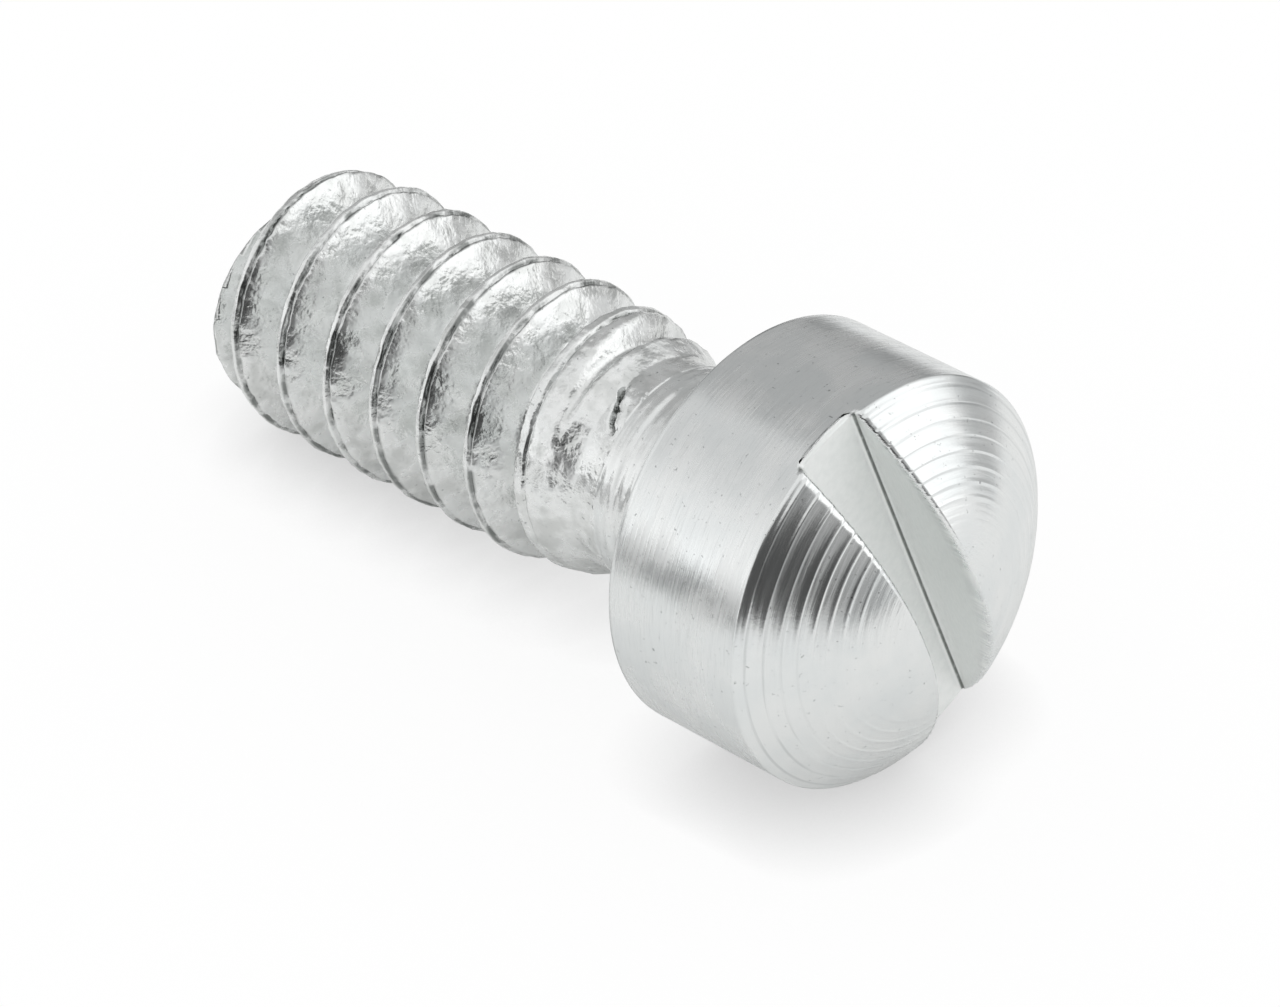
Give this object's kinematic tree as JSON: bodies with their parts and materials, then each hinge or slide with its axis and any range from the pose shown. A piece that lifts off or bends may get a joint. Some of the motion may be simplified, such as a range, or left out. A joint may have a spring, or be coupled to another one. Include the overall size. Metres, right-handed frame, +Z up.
{
  "type": "captive panel screw",
  "caption": "Slotted fillister-head machine screw with a domed crown, a plain relieved neck and a coarse right-hand thread.",
  "frame": {"origin": "centre of the bearing face, on the screw's axis", "axes": "+X towards the head, level; +Z up; the screw lies at rest, so its own axis rises 6.93 degrees from +X towards +Z at the head end"},
  "size_m": [0.0108, 0.005, 0.0052],
  "materials": {
    "plated_steel": "bright zinc plate over turned steel, mottled on the thread and finely ringed on the head"
  },
  "bodies": {
    "root": {"panel_screw": "plated_steel"}
  },
  "joints": []
}
